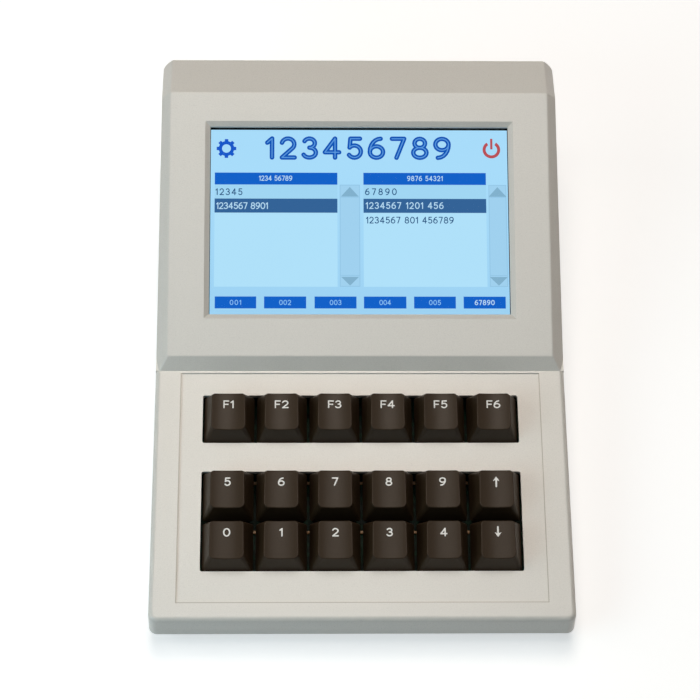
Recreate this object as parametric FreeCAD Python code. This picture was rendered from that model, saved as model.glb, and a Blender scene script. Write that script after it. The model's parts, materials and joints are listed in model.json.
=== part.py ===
"""Differential cell counter: a sloped desk case with a touch display and 18 push keys.

Frame: +X to the user's right, +Y to the back, +Z up. The origin lies under the centre of
the case, on the surface that the rubber feet stand on. Lengths are in millimetres and
angles in degrees.
"""
import FreeCAD
import Part
import math
import os

Vector = FreeCAD.Vector

# ---- Key switches: heights are above the key board's top face ----
spare = 1.0                    # cutting tools reach this far past the faces they open
key_travel = 4.0
housing_side = 14.0            # body of the lower housing
housing_floor = 1.2
housing_wall = 1.3
flange_side = 15.6             # rim round the lower housing
flange_low = 5.0
flange_thickness = 1.0
neck_width = 7.2               # part of the stem that slides in the housing's mouth
neck_depth = 5.6
slide_gap = 0.3
shoe_lip = 0.9                 # the stem's shoe is wider than its neck and keeps it in
shoe_height = 3.6
shoe_clearance = 1.2           # under the shoe, with the key pressed
stem_rest_gap = 0.2            # over the shoe, with the key up
mouth_thickness = 1.4
upper_wall = 1.0               # upper housing, at its foot
roof_gap = 0.45                # round the shoe, inside the upper housing's top
roof_edge = 0.3
housing_corner = 0.6
cross_height = 3.7
cross_span = 4.0
cross_thickness = 1.25
centre_post = 4.0
side_post = 1.7
side_post_offset = 5.08
post_length = 3.3
rod_diameter = 2.0
rod_gap = 0.3
spring_diameter = 4.4
spring_wire = 0.4
spring_turns = 7
spring_runs = 12               # straight runs in one turn of the coil
mitred = 1                     # how runs of a sweep meet
spring_recess = 1.6            # depth of the spring's seat in the shoe
spring_recess_gap = 0.5
contact_thickness = 0.2
contact_width = 2.6
contact_offset = 5.0           # contact leaves stand this far behind the stem's axis
pin_width = 0.8
pin_spread = 3.2               # pins stand this far left and right of the stem's axis
pin_gap = 0.2

# ---- Keycaps ----
key_pitch = 19.05
key_gap = 0.95                 # between neighbouring caps at their base
cap_sink = 2.2                 # base of a cap lies this far below the deck
cap_clearance = 0.9            # over the switch's flange, with the key pressed
cap_top_width = 12.0
cap_top_depth = 13.6
cap_top_shift = 0.85           # top of a cap lies towards the user
cap_top_height = 9.1           # above the deck, at the middle of the top
cap_tilt = 3.4                 # top of a cap tilts down towards the user
cap_dish = 0.7                 # depth of the hollow in the top
cap_roof = 1.5
cap_wall = 1.3
cap_base_corner = 0.9
cap_front_corner = 2.0
cap_rear_corner = 1.3
cap_edge_radius = 0.35
cap_boss = 5.7
cross_gap = 0.05
boss_gap = 0.3                 # from the stem's shoulder to the cap's boss

# ---- Key field ----
key_columns = 6
key_names = [
    ["0", "1", "2", "3", "4", "down"],
    ["5", "6", "7", "8", "9", "up"],
    ["f1", "f2", "f3", "f4", "f5", "f6"],
]
slot_side_gap = 0.6            # from the outer caps to the slot's ends
slot_gap = 0.3                 # from the caps to the slot's long sides
slot_corner = 0.8
front_margin = 18.55           # deck edge to the number slot
slot_spacing = 11.1            # land between the two slots
rear_margin = 8.7              # land behind the function slot, inside the recess
recess_front = 7.0             # deck edge to the sunk field
recess_foot = 0.8              # sunk field to the foot of the hood
recess_side = 8.0              # slot's end to the side of the sunk field
recess_depth = 0.55
case_side = 17.95              # from the slots or the window, whichever is wider, to the case's side

# ---- Case ----
draft_angle = 1.5              # all four walls lean in
plan_corner = 3.0
wall = 2.5
front_height = 10.9
deck_slope = 6.0
deck_edge_radius = 1.8
bevel = 4.1                    # foot of the hood
bevel_angle = 45.0             # at the foot and down both sides of the hood
foot_land = 9.0                # square-edged deck beside the foot of the hood
face_margin = 4.75             # hood's face to the side of the case
face_slope = 19.2
face_length = 100.45
rear_slope = 13.1
rear_length = 20.8
hood_edge_radius = 1.2
inner_corner = 0.5
foot_stand = 1.5               # feet stand below the base
foot_diameter = 10.0
foot_sink = 0.8
foot_gap = 0.1
foot_inset = 17.0
base_floor = 2.5
base_step = 0.8                # base stands back from the top shell
base_taper = 3.2               # and draws in further towards the bottom
base_wall = 2.4
pin_clearance = 1.5            # base floor to the switch pins
lip_height = 2.5
lip_thickness = 1.5
lip_gap = 0.2

# ---- Fastenings ----
boss_diameter = 6.0
case_boss_diameter = 7.0
case_boss_side = 9.6           # case side to the screw's axis
case_boss_front = 9.2
case_boss_back = 11.0
rib_thickness = 1.6
rib_lift = 0.6                 # ribs start this far over the base's lip
screw_shank = 2.1
screw_head = 4.4
screw_head_height = 1.5
screw_length = 6.0
screw_gap = 0.1
case_screw_shank = 2.8
case_screw_head = 5.4
case_screw_head_height = 2.2
case_screw_length = 10.0
case_screw_gap = 0.2
case_screw_web = 3.0           # material between the screw's head and the parting line
drive_slot = 0.7
drive_span = 2.4
drive_depth = 0.8

# ---- Circuit boards ----
board_thickness = 1.6
board_boss_offset = 3.7        # slot's end to the axis of the key board's bosses
board_edge = 4.0               # boss axis to the board's edge
board_rear_edge = 2.7
main_width = 110.0
main_depth = 89.8
main_rear = 4.5                # case back to the main board
main_standoff = 4.0
main_screw_inset = 5.0
diode_diameter = 1.2
diode_length = 2.0

# ---- Display ----
window_width = 111.0
window_height = 71.6
window_front = 15.9            # face's lower edge to the window
window_bevel = 1.85
window_bevel_depth = 1.3
gasket_thickness = 0.5
gasket_setback = 0.6
glass_margin = 3.0
glass_thickness = 1.1
panel_margin = 4.0
panel_thickness = 2.4
backlight_thickness = 4.5
bracket_thickness = 1.0
bracket_gap = 0.3
bracket_rise = 5.0
bracket_ear = 3.2              # boss axis to the bracket's edge
display_boss_offset = 4.7      # bracket wall to the boss axis
display_boss_inset = 9.0       # window's end line to the boss axis, along the face

# ---- Sockets, parts of the main board and cables ----
socket_gap = 0.3
socket_setback = 0.3           # case back to the face of a socket
usb_width = 12.0
usb_height = 10.8
usb_depth = 16.0
usb_mouth_width = 8.6
usb_mouth_height = 7.9
usb_mouth_depth = 10.0
usb_tongue_width = 5.6
usb_tongue_height = 3.2
socket_pin_setback = 0.8       # a plug's contact parts stop short of the socket's face
usb_position = -32.0
jack_width = 9.0
jack_height = 11.0
jack_depth = 14.0
jack_bore = 6.3
jack_bore_depth = 9.5
jack_pin = 2.0
jack_axis_height = 6.5
jack_position = 32.0
sill_gap = 0.25
buzzer_diameter = 12.0
buzzer_height = 9.5
buzzer_hole = 2.0
battery_diameter = 20.0
battery_thickness = 3.2
tall_part_inset = 20.0         # board's edges to the battery's and the buzzer's middle
processor_side = 20.0
memory_width = 12.0
memory_depth = 18.0
driver_side = 14.0
clock_side = 7.0
chip_height = 1.4
regulator_width = 10.0
regulator_depth = 9.0
regulator_height = 4.5
crystal_width = 11.0
crystal_depth = 4.5
crystal_height = 3.5
capacitor_diameter = 8.0
capacitor_height = 10.0
ribbon_width = 14.0
ribbon_thickness = 0.3
ribbon_offset = 12.0
ribbon_straight = 5.0
cable_socket_width = 17.0
cable_socket_depth = 4.5
cable_socket_height = 2.0
cable_socket_inset = 1.0


def sine(angle):
    return math.sin(math.radians(angle))


def cosine(angle):
    return math.cos(math.radians(angle))


def tangent(angle):
    return math.tan(math.radians(angle))


# ---- Sizes that follow from the ones above ----
flange_high = flange_low + flange_thickness
key_board_depth = flange_high + cap_clearance + key_travel + cap_sink
cap_base = key_pitch - key_gap
cap_base_height = key_board_depth - cap_sink
cap_height = cap_sink + cap_top_height
shoe_low = housing_floor + key_travel + shoe_clearance
shoe_high = shoe_low + shoe_height
mouth_low = shoe_high + stem_rest_gap
housing_top = mouth_low + mouth_thickness
cross_low = housing_top
stem_top = cross_low + cross_height

slot_half = (key_columns - 1) * key_pitch / 2 + cap_base / 2 + slot_side_gap
number_slot = key_pitch + cap_base + 2 * slot_gap
function_slot = cap_base + 2 * slot_gap
row_places = [
    front_margin + slot_gap + cap_base / 2,
    front_margin + slot_gap + cap_base / 2 + key_pitch,
    front_margin + number_slot + slot_spacing + function_slot / 2,
]
function_front = front_margin + number_slot + slot_spacing
recess_rear = function_front + function_slot + rear_margin
deck_length = recess_rear + recess_foot

case_width = 2 * (max(slot_half, window_width / 2) + case_side)
face_width = case_width - 2 * face_margin
foot_y = deck_length * cosine(deck_slope)
foot_z = deck_length * sine(deck_slope)
bevel_length = bevel / cosine(bevel_angle)
face_y = foot_y + bevel_length * cosine(deck_slope + bevel_angle)
face_z = foot_z + bevel_length * sine(deck_slope + bevel_angle)
ridge_y = face_y + face_length * cosine(face_slope)
ridge_z = face_z + face_length * sine(face_slope)
case_depth = ridge_y + rear_length * cosine(rear_slope)
y_front = -case_depth / 2
y_back = case_depth / 2

pin_drop = (key_board_depth + post_length) * cosine(deck_slope) - row_places[0] * sine(deck_slope)
base_height = pin_drop - front_height + base_floor + pin_clearance
z_floor = foot_stand + base_floor
z_parting = foot_stand + base_height
z_deck = z_parting + front_height
z_board = z_floor + main_standoff + board_thickness
reach = case_depth
coincidence = 0.1              # edges this close to a plane lie in it

display_middle = window_front + window_height / 2
glass_low = -wall - gasket_thickness - glass_thickness
panel_low = glass_low - panel_thickness
backlight_low = panel_low - backlight_thickness
panel_half = window_width / 2 + panel_margin
panel_half_height = window_height / 2 + panel_margin
bracket_half = panel_half + bracket_gap + bracket_thickness
bracket_half_height = panel_half_height + bracket_gap + bracket_thickness
display_boss_x = bracket_half + display_boss_offset
main_back = y_back - main_rear
main_front = main_back - main_depth


def frame(y, z, slope):
    """Placement on the case's side profile, y behind the front and z over the deck's edge."""
    turn = FreeCAD.Rotation(Vector(1, 0, 0), slope)
    return FreeCAD.Placement(Vector(0, y_front + y, z_deck + z), turn)


deck_frame = frame(0, 0, deck_slope)
face_frame = frame(face_y, face_z, face_slope)
rear_frame = frame(ridge_y, ridge_z, -rear_slope)


# ---- Building blocks ----
def placed(shape, place):
    copy = shape.copy()
    copy.Placement = place.multiply(copy.Placement)
    return copy


def at(x, y, z):
    return FreeCAD.Placement(Vector(x, y, z), FreeCAD.Rotation())


def block(x_low, x_high, y_low, y_high, z_low, z_high):
    size = (x_high - x_low, y_high - y_low, z_high - z_low)
    return Part.makeBox(*size, Vector(x_low, y_low, z_low))


def centred_block(width, depth, z_low, z_high):
    return block(-width / 2, width / 2, -depth / 2, depth / 2, z_low, z_high)


def post(diameter, x, y, z_low, z_high):
    return Part.makeCylinder(diameter / 2, z_high - z_low, Vector(x, y, z_low))


def joined(shapes):
    return shapes[0].multiFuse(shapes[1:]).removeSplitter()


def copies(shape, places):
    """One copy for each (name, placement) pair."""
    return [placed(shape, place) for _, place in places]


def rounded_outline(x_half, y_low, y_high, front_radius, rear_radius, z):
    """Rectangle with rounded corners, as a wire at height z."""
    corners = [
        (-x_half, y_low, 1, 1, front_radius),
        (x_half, y_low, -1, 1, front_radius),
        (x_half, y_high, -1, -1, rear_radius),
        (-x_half, y_high, 1, -1, rear_radius),
    ]
    arcs = []
    for number, (x, y, x_in, y_in, radius) in enumerate(corners):
        on_y = Vector(x, y + y_in * radius, z)
        on_x = Vector(x + x_in * radius, y, z)
        bulge = radius * (1 - math.sqrt(0.5))
        middle = Vector(x + x_in * bulge, y + y_in * bulge, z)
        ends = (on_y, on_x) if number % 2 == 0 else (on_x, on_y)
        arcs.append(Part.Arc(ends[0], middle, ends[1]))
    edges = []
    for number, arc in enumerate(arcs):
        following = arcs[(number + 1) % len(arcs)]
        edges.append(arc.toShape())
        edges.append(Part.makeLine(arc.EndPoint, following.StartPoint))
    return Part.Wire(edges)


def centred_outline(x_half, y_half, radius, z):
    return rounded_outline(x_half, -y_half, y_half, radius, radius, z)


def rounded_block(x_half, y_low, y_high, radius, z_low, z_high):
    outline = rounded_outline(x_half, y_low, y_high, radius, radius, z_low)
    return Part.Face(outline).extrude(Vector(0, 0, z_high - z_low))


def screw(head, head_height, shank, length):
    """Screw that points up, with the underside of its head at height 0."""
    body = post(shank, 0, 0, 0, length)
    cap = post(head, 0, 0, -head_height, 0)
    slots = [
        centred_block(drive_span, drive_slot, -head_height, drive_depth - head_height),
        centred_block(drive_slot, drive_span, -head_height, drive_depth - head_height),
    ]
    return body.fuse(cap).cut(joined(slots)).removeSplitter()


def board_screw():
    return screw(screw_head, screw_head_height, screw_shank, screw_length)


# ---- Outer and inner body of the case ----
def drafted_walls(inset, z_low, z_high):
    """Block between the four leaning walls, each moved in by inset."""
    low = inset + (z_low - z_parting) * tangent(draft_angle)
    high = inset + (z_high - z_parting) * tangent(draft_angle)
    x_half = case_width / 2
    y_half = case_depth / 2
    walls = Part.makeWedge(
        -x_half + low, z_low, -y_half + low, -y_half + high, -x_half + high,
        x_half - low, z_high, y_half - low, y_half - high, x_half - high)
    walls.rotate(Vector(0, 0, 0), Vector(1, 0, 0), 90)
    return walls


def crossing(first, second):
    """Point where two lines of the side profile meet, each given as (y, z, slope)."""
    y_a, z_a, slope_a = first
    y_b, z_b, slope_b = second
    rise = z_b - z_a + y_a * tangent(slope_a) - y_b * tangent(slope_b)
    y = rise / (tangent(slope_a) - tangent(slope_b))
    return (y, z_a + (y - y_a) * tangent(slope_a))


def under_roof(inset, z_low):
    """Block under the deck, foot bevel, face and rear slope, each moved in by inset."""
    planes = [
        (0, 0, deck_slope),
        (foot_y, foot_z, deck_slope + bevel_angle),
        (face_y, face_z, face_slope),
        (ridge_y, ridge_z, -rear_slope),
    ]
    moved = [(y + inset * sine(slope), z - inset * cosine(slope), slope) for y, z, slope in planes]
    first = moved[0]
    last = moved[-1]
    points = [(-reach, first[1] - (reach + first[0]) * tangent(first[2]))]
    points += [crossing(moved[number], moved[number + 1]) for number in range(len(moved) - 1)]
    points.append((2 * reach, last[1] + (2 * reach - last[0]) * tangent(last[2])))
    points.append((2 * reach, z_low - z_deck))
    points.append((-reach, z_low - z_deck))
    corners = [Vector(-case_width, y_front + y, z_deck + z) for y, z in points]
    outline = Part.makePolygon(corners + corners[:1])
    return Part.Face(outline).extrude(Vector(2 * case_width, 0, 0))


def side_bevels(inset):
    """What lies outside the bevels down both sides of the hood."""
    edge = face_width / 2 - inset * tangent(bevel_angle / 2)
    drop = inset + reach * tangent(bevel_angle)
    cuts = []
    for place, length in ((face_frame, face_length), (rear_frame, rear_length)):
        for side in (-1, 1):
            points = [(edge, -inset), (edge + reach, -drop), (edge + reach, reach), (edge, reach)]
            corners = [Vector(side * x, -3 * bevel, z) for x, z in points]
            outline = Part.makePolygon(corners + corners[:1])
            wedge = Part.Face(outline).extrude(Vector(0, length + reach, 0))
            cuts.append(placed(wedge, place))
    return cuts


def is_upright(edge):
    return abs(edge.tangentAt(edge.FirstParameter).z) > cosine(2 * draft_angle)


def rounded_uprights(shape, at_front):
    edges = []
    for edge in shape.Edges:
        middle = edge.BoundBox.Center.y
        at_end = middle < y_front + wall if at_front else middle > y_back - wall
        if is_upright(edge) and at_end:
            edges.append(edge)
    return shape.makeFillet(plan_corner, edges)


def top_edges(shape, y_limit):
    """Edges above the parting line that don't lie in the plane where deck and hood meet."""
    found = []
    for edge in shape.Edges:
        box = edge.BoundBox
        in_plane = max(abs(box.YMin - y_limit), abs(box.YMax - y_limit)) < coincidence
        if box.ZMax > z_parting + wall and not in_plane and not is_upright(edge):
            found.append(edge)
    return found


def outer_body():
    """Solid outside of the top shell: rounded deck, rounded hood and the land beside its foot."""
    y_meet = y_front + foot_y
    whole = drafted_walls(0, z_parting, z_deck + ridge_z + wall).common(under_roof(0, z_parting))
    before = block(-reach, reach, -2 * reach, y_meet, -reach, reach)
    deck = rounded_uprights(whole.common(before).Solids[0], True)
    deck = deck.makeFillet(deck_edge_radius, top_edges(deck, y_meet))
    hood = whole.cut([before] + side_bevels(0)).removeSplitter().Solids[0]
    hood = rounded_uprights(hood, False)
    hood = hood.makeFillet(hood_edge_radius, top_edges(hood, y_meet))
    slice_at_foot = block(-reach, reach, y_meet, y_meet + foot_land, -reach, reach)
    under_deck = placed(block(-reach, reach, -reach, 2 * reach, -reach, 0), deck_frame)
    land = whole.common(slice_at_foot).common(under_deck)
    return deck.multiFuse([hood, land]).removeSplitter().Solids[0]


def inner_body(inset):
    """The case's body with every face moved in by inset, open downwards."""
    below_deck = placed(block(-reach, reach, -reach, 2 * reach, -2 * reach, -inset), deck_frame)
    cuts = [wedge.cut(below_deck) for wedge in side_bevels(inset)]
    z_low = z_parting - wall
    hollow = drafted_walls(inset, z_low, z_deck + ridge_z).common(under_roof(inset, z_low))
    return hollow.cut(cuts).removeSplitter().Solids[0]


# ---- Top shell ----
def slot_cut(front, height):
    """One key slot through the deck, in the deck's frame."""
    return rounded_block(slot_half, front, front + height, slot_corner, -2 * wall, wall)


def key_board_boss_places():
    x = slot_half + board_boss_offset
    rows = [front_margin, function_front - slot_spacing / 2, function_front + function_slot + board_edge]
    return [(side * x, y) for y in rows for side in (-1, 1)]


def display_boss_places():
    along = window_height / 2 - display_boss_inset
    rows = (display_middle - along, display_middle + along)
    return [(side * display_boss_x, y) for side in (-1, 1) for y in rows]


def case_screw_places():
    x = case_width / 2 - case_boss_side
    rows = (y_front + case_boss_front, y_back - case_boss_back)
    return [(side * x, y) for y in rows for side in (-1, 1)]


def window_cut():
    """Window through the hood's face with a bevel round its outer edge, in the face's frame."""
    x_half = window_width / 2
    y_half = window_height / 2
    opening = centred_block(window_width, window_height, -2 * wall, wall)
    low = Part.makePolygon([Vector(x, y, -window_bevel_depth) for x, y in corner_pairs(x_half, y_half)])
    wide = corner_pairs(x_half + window_bevel, y_half + window_bevel)
    high = Part.makePolygon([Vector(x, y, 0) for x, y in wide])
    flare = Part.makeLoft([low, high], True, True)
    return placed(opening.fuse(flare), at(0, display_middle, 0))


def corner_pairs(x_half, y_half):
    """Corners of a centred rectangle, closed by the first one again."""
    pairs = [(-x_half, -y_half), (x_half, -y_half), (x_half, y_half), (-x_half, y_half)]
    return pairs + pairs[:1]


def socket_notch(position, width, height):
    """Opening in the rear wall that a socket fills, open down to the parting line."""
    half = width / 2 + socket_gap
    z_low = z_parting - wall
    z_high = z_board + height + socket_gap
    return block(position - half, position + half, y_back - 2 * wall, y_back + wall, z_low, z_high)


def shell_bosses():
    """Bosses and ribs inside the top shell, rooted in the middle of its wall."""
    middle = inner_body(wall / 2)
    bosses = []
    for x, y in key_board_boss_places():
        bosses.append(placed(post(boss_diameter, x, y, -key_board_depth, -wall / 2), deck_frame))
    for x, y in display_boss_places():
        bosses.append(placed(post(boss_diameter, x, y, backlight_low, -wall / 2), face_frame))
    for x, y in case_screw_places():
        column = post(case_boss_diameter, x, y, z_parting, z_deck + ridge_z)
        ends = sorted([x, math.copysign(case_width / 2, x)])
        rib_low = z_parting + lip_height + rib_lift
        rib = block(*ends, y - rib_thickness / 2, y + rib_thickness / 2, rib_low, z_deck + ridge_z)
        bosses += [column.common(middle), rib.common(middle)]
    return bosses


def top_shell():
    shell = outer_body().cut(inner_body(wall)).multiFuse(shell_bosses())
    cuts = [placed(window_cut(), face_frame)]
    cuts.append(placed(slot_cut(front_margin, number_slot), deck_frame))
    cuts.append(placed(slot_cut(function_front, function_slot), deck_frame))
    recess_half = slot_half + recess_side
    recess = block(-recess_half, recess_half, recess_front, recess_rear, -recess_depth, wall)
    cuts.append(placed(recess, deck_frame))
    cuts.append(socket_notch(usb_position, usb_width, usb_height))
    cuts.append(socket_notch(jack_position, jack_width, jack_height))
    pilot = screw_shank + 2 * screw_gap
    depth = screw_length - board_thickness + screw_gap
    for x, y in key_board_boss_places():
        hole = post(pilot, x, y, -key_board_depth, -key_board_depth + depth)
        cuts.append(placed(hole, deck_frame))
    depth = screw_length - bracket_thickness + screw_gap
    for x, y in display_boss_places():
        cuts.append(placed(post(pilot, x, y, backlight_low, backlight_low + depth), face_frame))
    depth = case_screw_length - case_screw_web + screw_gap
    for x, y in case_screw_places():
        cuts.append(post(case_screw_shank + 2 * screw_gap, x, y, z_parting, z_parting + depth))
    return shell.cut(cuts).removeSplitter()


# ---- Base shell ----
def plan_outline(inset, z):
    radius = max(plan_corner - inset, inner_corner)
    return rounded_outline(case_width / 2 - inset, y_front + inset, y_back - inset, radius, radius, z)


def main_screw_places():
    x = main_width / 2 - main_screw_inset
    rows = (main_front + main_screw_inset, main_back - main_screw_inset)
    return [(side * x, y) for y in rows for side in (-1, 1)]


def foot_places():
    x = case_width / 2 - foot_inset
    return [(side * x, end * (case_depth / 2 - foot_inset)) for side in (-1, 1) for end in (-1, 1)]


def base_shell():
    bottom = plan_outline(base_step + base_taper, foot_stand)
    rim = plan_outline(base_step, z_parting)
    outer = Part.makeLoft([bottom, rim], True, True)
    hollow_rim = wall + lip_gap + lip_thickness
    floor_inset = base_step + base_taper * (1 - base_floor / base_height) + base_wall
    sections = [plan_outline(floor_inset, z_floor), plan_outline(hollow_rim, z_parting)]
    hollow = Part.makeLoft(sections, True, True)
    lip_outer = Part.Face(plan_outline(wall + lip_gap, z_parting - base_floor))
    lip_inner = Part.Face(plan_outline(hollow_rim, z_parting - base_floor))
    lip = lip_outer.cut(lip_inner).extrude(Vector(0, 0, base_floor + lip_height))
    shell = outer.cut(hollow).fuse(lip.cut(block(-reach, reach, -reach, reach, 0, z_parting)))
    additions = []
    cuts = []
    for x, y in case_screw_places():
        additions.append(post(case_screw_head + 2 * wall, x, y, foot_stand, z_parting).common(outer))
        head_seat = z_parting - case_screw_web
        cuts.append(post(case_screw_head + 2 * case_screw_gap, x, y, 0, head_seat))
        cuts.append(post(case_screw_shank + 2 * case_screw_gap, x, y, 0, z_parting))
    for x, y in main_screw_places():
        additions.append(post(boss_diameter, x, y, foot_stand + base_floor / 2, z_floor + main_standoff))
        hole_low = z_board - screw_length - screw_gap
        cuts.append(post(screw_shank + 2 * screw_gap, x, y, hole_low, z_board))
    for position, width in ((usb_position, usb_width), (jack_position, jack_width)):
        low = position - width / 2
        high = position + width / 2
        sill_high = z_board - sill_gap
        additions.append(block(low, high, y_back - hollow_rim, y_back - base_step, z_parting, sill_high))
        low -= socket_gap
        high += socket_gap
        cuts.append(block(low, high, y_back - 2 * wall, y_back, sill_high, 2 * z_board))
    for x, y in foot_places():
        cuts.append(post(foot_diameter + 2 * foot_gap, x, y, 0, foot_stand + foot_sink))
    return shell.multiFuse(additions).cut(cuts).removeSplitter()


# ---- Key switches, each in the frame of its own place on the key board ----
def key_places():
    """Each key's name with the frame of its switch, whose origin is on the key board's top face."""
    places = []
    for row, names in enumerate(key_names):
        for column, name in enumerate(names):
            x = (column - (key_columns - 1) / 2) * key_pitch
            local = at(x, row_places[row], -key_board_depth)
            places.append((name, deck_frame.multiply(local)))
    return places


def contact_pins():
    """(x, y) of the fixed and the moving contact's pin."""
    return [(pin_spread, contact_offset), (-pin_spread, contact_offset / 2)]


def switch_lower_housing():
    body = centred_block(housing_side, housing_side, 0, flange_low)
    flange = centred_block(flange_side, flange_side, flange_low, flange_high)
    solid = [body, flange, post(centre_post, 0, 0, -post_length, housing_floor)]
    for side in (-1, 1):
        solid.append(post(side_post, side * side_post_offset, 0, -post_length, housing_floor))
    inside = housing_side - 2 * housing_wall
    cuts = [centred_block(inside, inside, housing_floor, flange_high)]
    bore_low = shoe_low - key_travel - shoe_clearance - post_length - housing_floor + rod_gap
    cuts.append(post(rod_diameter + 2 * rod_gap, 0, 0, bore_low, housing_floor))
    for x, y in contact_pins():
        width = pin_width + 2 * pin_gap
        depth = contact_thickness + 2 * pin_gap
        cuts.append(placed(centred_block(width, depth, -spare, housing_floor), at(x, y, 0)))
    return joined(solid).cut(cuts)


def switch_upper_housing():
    foot = housing_side / 2
    x_roof = neck_width / 2 + shoe_lip + roof_gap
    y_roof = neck_depth / 2 + shoe_lip + roof_gap
    outside = [
        centred_outline(foot, foot, housing_corner, flange_high),
        centred_outline(x_roof + roof_edge, y_roof + roof_edge, housing_corner, housing_top),
    ]
    inside = [
        centred_outline(foot - upper_wall, foot - upper_wall, housing_corner / 2, flange_high),
        centred_outline(x_roof, y_roof, housing_corner / 2, mouth_low),
    ]
    shell = Part.makeLoft(outside, True, True)
    mouth = centred_block(neck_width + 2 * slide_gap, neck_depth + 2 * slide_gap, flange_high, stem_top)
    return shell.cut([Part.makeLoft(inside, True, True), mouth])


def stem_cross(gap, z_low, z_high):
    long = cross_span + 2 * gap
    thick = cross_thickness + 2 * gap
    return centred_block(long, thick, z_low, z_high).fuse(centred_block(thick, long, z_low, z_high))


def switch_stem():
    shoe = centred_block(neck_width + 2 * shoe_lip, neck_depth + 2 * shoe_lip, shoe_low, shoe_high)
    neck = centred_block(neck_width, neck_depth, shoe_high, cross_low)
    seat = post(spring_diameter + 2 * spring_recess_gap, 0, 0, shoe_low, shoe_low + spring_recess)
    rod_low = shoe_low - shoe_clearance - key_travel + rod_gap
    rod = post(rod_diameter, 0, 0, rod_low, shoe_high)
    return shoe.cut(seat).multiFuse([neck, rod, stem_cross(0, cross_low, stem_top)]).removeSplitter()


def switch_spring():
    """Coil of short straight runs, mitred where they meet."""
    radius = (spring_diameter - spring_wire) / 2
    height = shoe_low + spring_recess - housing_floor - spring_wire
    runs = spring_turns * spring_runs
    points = []
    for number in range(runs + 1):
        angle = 360 * number / spring_runs
        z = housing_floor + spring_wire / 2 + height * number / runs
        points.append(Vector(radius * cosine(angle), radius * sine(angle), z))
    section = Part.Wire(Part.makeCircle(spring_wire / 2, points[0], points[1] - points[0]))
    return Part.makePolygon(points).makePipeShell([section], True, False, mitred)


def switch_contacts():
    """Fixed contact, and moving contact whose foot reaches back to its leaf."""
    contacts = []
    for x, y in contact_pins():
        foot_high = housing_floor + contact_thickness
        pin = placed(centred_block(pin_width, contact_thickness, -post_length, foot_high), at(x, y, 0))
        leaf = centred_block(contact_width, contact_thickness, housing_floor, flange_low)
        leaf = placed(leaf, at(x, contact_offset, 0))
        foot = block(x - pin_width / 2, x + pin_width / 2, y - contact_thickness / 2, contact_offset,
                     housing_floor, foot_high)
        contacts.append(joined([pin, leaf, foot]))
    return contacts


# ---- Keycap, in the same frame as its switch ----
def cap_outline(height, inset):
    """Cross-section of the cap at a height over its base, moved in by inset."""
    share = height / cap_height
    x_half = cap_base / 2 + (cap_top_width - cap_base) / 2 * share - inset
    y_low = -cap_base / 2 + (cap_base / 2 - cap_top_depth / 2 - cap_top_shift) * share + inset
    y_high = cap_base / 2 - (cap_base / 2 - cap_top_depth / 2 + cap_top_shift) * share - inset
    front = cap_base_corner + (cap_front_corner - cap_base_corner) * share - inset
    rear = cap_base_corner + (cap_rear_corner - cap_base_corner) * share - inset
    least = cap_base_corner / 3
    z = cap_base_height + height
    return rounded_outline(x_half, y_low, y_high, max(front, least), max(rear, least), z)


def keycap():
    body = Part.makeLoft([cap_outline(0, 0), cap_outline(cap_height + 2 * cap_dish, 0)], True, True)
    dish_radius = (cap_top_width / 2) ** 2 / (2 * cap_dish) + cap_dish / 2
    axis = Vector(0, cosine(cap_tilt), sine(cap_tilt))
    middle = Vector(0, -cap_top_shift, cap_base_height + cap_height - cap_dish + dish_radius)
    dish = Part.makeCylinder(dish_radius, 2 * cap_base, middle - axis * cap_base, axis)
    body = body.cut(dish)
    rim = [edge for edge in body.Edges if edge.BoundBox.ZMin > cap_base_height + cap_height - 2 * cap_dish]
    body = body.makeFillet(cap_edge_radius, rim)
    roof = cap_height - cap_dish - cap_roof
    hollow = Part.makeLoft([cap_outline(0, cap_wall), cap_outline(roof, cap_wall)], True, True)
    boss_low = cross_low + boss_gap
    boss = post(cap_boss, 0, 0, boss_low, cap_base_height + roof + cap_roof / 2)
    socket = stem_cross(cross_gap, boss_low, stem_top + boss_gap)
    return body.cut(hollow).fuse(boss).cut(socket).removeSplitter()


# ---- Circuit boards ----
def key_board():
    x_half = slot_half + board_boss_offset + board_edge
    front = front_margin - board_edge - slot_gap
    back = function_front + function_slot + board_edge + board_rear_edge
    board = block(-x_half, x_half, front, back, -key_board_depth - board_thickness, -key_board_depth)
    board = placed(board, deck_frame)
    drills = []
    for _, place in key_places():
        drills.append(placed(post(centre_post + 2 * pin_gap, 0, 0, -2 * board_thickness, spare), place))
        for side in (-1, 1):
            x = side * side_post_offset
            drills.append(placed(post(side_post + 2 * pin_gap, x, 0, -2 * board_thickness, spare), place))
        for x, y in contact_pins():
            drills.append(placed(post(pin_width + 2 * pin_gap, x, y, -2 * board_thickness, spare), place))
    for x, y in key_board_boss_places():
        low = -key_board_depth - 2 * board_thickness
        hole = post(screw_shank + 2 * screw_gap, x, y, low, -key_board_depth + spare)
        drills.append(placed(hole, deck_frame))
    return board.cut(drills)


def key_diodes():
    """Glass diodes of the number keys, behind each row and between two columns."""
    start = Vector(key_pitch / 2 - diode_length / 2, key_pitch / 2, diode_diameter / 2)
    diode = Part.makeCylinder(diode_diameter / 2, diode_length, start, Vector(1, 0, 0))
    number_keys = key_names[0][:-1] + key_names[1][:-1]
    return copies(diode, [place for place in key_places() if place[0] in number_keys])


def main_board():
    x_half = main_width / 2
    board = block(-x_half, x_half, main_front, main_back, z_board - board_thickness, z_board)
    holes = [post(screw_shank + 2 * screw_gap, x, y, 0, 2 * z_board) for x, y in main_screw_places()]
    return board.cut(holes)


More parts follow.
